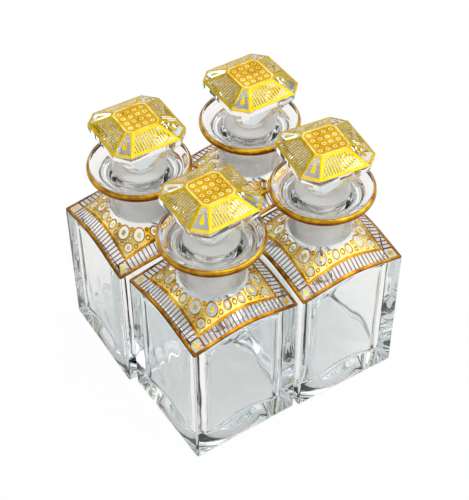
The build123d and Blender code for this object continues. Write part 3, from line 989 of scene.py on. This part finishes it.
def make_room():
    """The studio round the set: light that depends on direction, an even part behind glass, and white
    for the camera."""
    world = bpy.data.worlds.new("studio")
    bpy.context.scene.world = world
    world.use_nodes = True
    nodes, links = world.node_tree.nodes, world.node_tree.links
    nodes.clear()
    direction = nodes.new("ShaderNodeTexCoord").outputs["Generated"]
    split = nodes.new("ShaderNodeSeparateXYZ")
    links.new(direction, split.inputs["Vector"])
    ramp = nodes.new("ShaderNodeValToRGB")
    stops = ramp.color_ramp.elements
    while len(stops) < len(ROOM_LEVELS):
        stops.new(0.5)
    for stop, (height, brightness) in zip(stops, ROOM_LEVELS):
        stop.position = height
        stop.color = (brightness, brightness, brightness, 1)
    links.new(split.outputs["Z"], ramp.inputs["Fac"])
    level = ramp.outputs["Color"]
    for towards, start, amount in ROOM_GLOWS:
        facing = node(nodes, "ShaderNodeVectorMath", operation="DOT_PRODUCT")
        links.new(direction, facing.inputs[0])
        facing.inputs[1].default_value = Vector(towards).normalized()
        glow = node(nodes, "ShaderNodeMapRange", interpolation_type="SMOOTHSTEP",
                    From_Min=start, From_Max=1.0, To_Max=amount)
        links.new(facing.outputs["Value"], glow.inputs["Value"])
        total = node(nodes, "ShaderNodeMath", operation="ADD")
        links.new(level, total.inputs[0])
        links.new(glow.outputs["Result"], total.inputs[1])
        level = total.outputs["Value"]
    around = node(nodes, "ShaderNodeBackground", Color=ROOM_COLOUR)
    links.new(level, around.inputs["Strength"])
    even, white = (
        node(nodes, "ShaderNodeBackground", Color=colour, Strength=1.0).outputs["Background"]
        for colour in (ROOM_COLOUR_IN_GLASS, WHITE))
    path = nodes.new("ShaderNodeLightPath")
    share = node(nodes, "ShaderNodeMath", operation="MULTIPLY")
    links.new(path.outputs["Is Transmission Ray"], share.inputs[0])
    share.inputs[1].default_value = ROOM_GLOW_IN_GLASS
    seen = mixed(nodes, links, share.outputs["Value"], around.outputs["Background"], even)
    surface = mixed(nodes, links, path.outputs["Is Camera Ray"], seen, white)
    links.new(surface, nodes.new("ShaderNodeOutputWorld").inputs["Surface"])


def make_softbox():
    light = bpy.data.lights.new("key softbox", "AREA")
    light.shape = "RECTANGLE"
    light.size, light.size_y = KEY_SIZE
    light.energy = KEY_POWER
    lamp = bpy.data.objects.new("key softbox", light)
    lamp.location = KEY_PLACE
    lamp.rotation_euler = (Vector(KEY_TARGET) - Vector(KEY_PLACE)).to_track_quat("-Z", "Y").to_euler()
    bpy.context.scene.collection.objects.link(lamp)


def make_camera():
    yaw, pitch, roll = (math.radians(a) for a in (CAMERA_YAW, CAMERA_PITCH, CAMERA_ROLL))
    ahead = Vector((math.cos(pitch) * math.cos(yaw), math.cos(pitch) * math.sin(yaw), -math.sin(pitch)))
    right = ahead.cross(Vector((0, 0, 1))).normalized()
    up = right.cross(ahead)
    right, up = (
        math.cos(roll) * right + math.sin(roll) * up,
        math.cos(roll) * up - math.sin(roll) * right,
    )
    data = bpy.data.cameras.new("photo camera")
    data.sensor_width = SENSOR
    data.lens = FOCAL_PIXELS * SENSOR / FRAME_PIXELS
    data.clip_end = CLIP_END
    camera = bpy.data.objects.new("photo camera", data)
    turn = Matrix((right, up, -ahead)).transposed().to_4x4()
    camera.matrix_world = Matrix.Translation(Vector(CAMERA_PLACE) * MM) @ turn
    bpy.context.scene.collection.objects.link(camera)
    bpy.context.scene.camera = camera


make_camera()
make_floor()
make_room()
make_softbox()

bpy.context.scene.view_settings.view_transform = "Standard"
bpy.context.scene.cycles.max_bounces = GLASS_BOUNCES
bpy.context.scene.cycles.glossy_bounces = MIRROR_BOUNCES
bpy.context.scene.cycles.transmission_bounces = GLASS_BOUNCES
bpy.context.scene.cycles.transparent_max_bounces = GLASS_BOUNCES

crystal = [
    glass_material("clear crystal", (0.955, 0.98, 0.985, 1)),
    glass_material("ground crystal", (1.0, 0.965, 0.935, 1), 0.38, clearness=0.75, grain=GROUND_GRAIN),
]
field_gold = gold_material("bright fired gold", (0.84, 0.5, 0.012, 1), (1.0, 0.92, 0.38, 1), 0.27)
frame_gold = gold_material("amber fired gold", (0.28, 0.08, 0.004, 1), (0.85, 0.42, 0.02, 1), 0.25)
line_gold = gold_material("dark fired gold", (0.12, 0.03, 0.004, 1), (0.36, 0.12, 0.01, 1), 0.3)
lip_gold = gold_material("lip gold", (0.42, 0.17, 0.008, 1), (0.86, 0.5, 0.03, 1), 0.14)
table_gold = gold_material("amber table gold", (0.6, 0.31, 0.004, 1), (0.8, 0.48, 0.006, 1), 0.25)
head_gold = gold_material("thin fired gold", (0.98, 0.62, 0.015, 1), (1.0, 0.74, 0.03, 1), 0.28, cover=0.84)

shoulder, crown, lip = shoulder_film(), crown_film(), lip_film()
for flacon_name in NAMES:
    make_flacon(flacon_name, crystal)
    make_stopper(flacon_name, crystal)
    make_gilding(flacon_name, "shoulder", shoulder, [field_gold, frame_gold, line_gold])
    # On the lip the dark gold is painted shade under the bead
    make_gilding(flacon_name, "lip", lip, [lip_gold, line_gold], smooth=True)
    make_gilding(flacon_name, "head", crown, [field_gold, head_gold, table_gold, frame_gold])
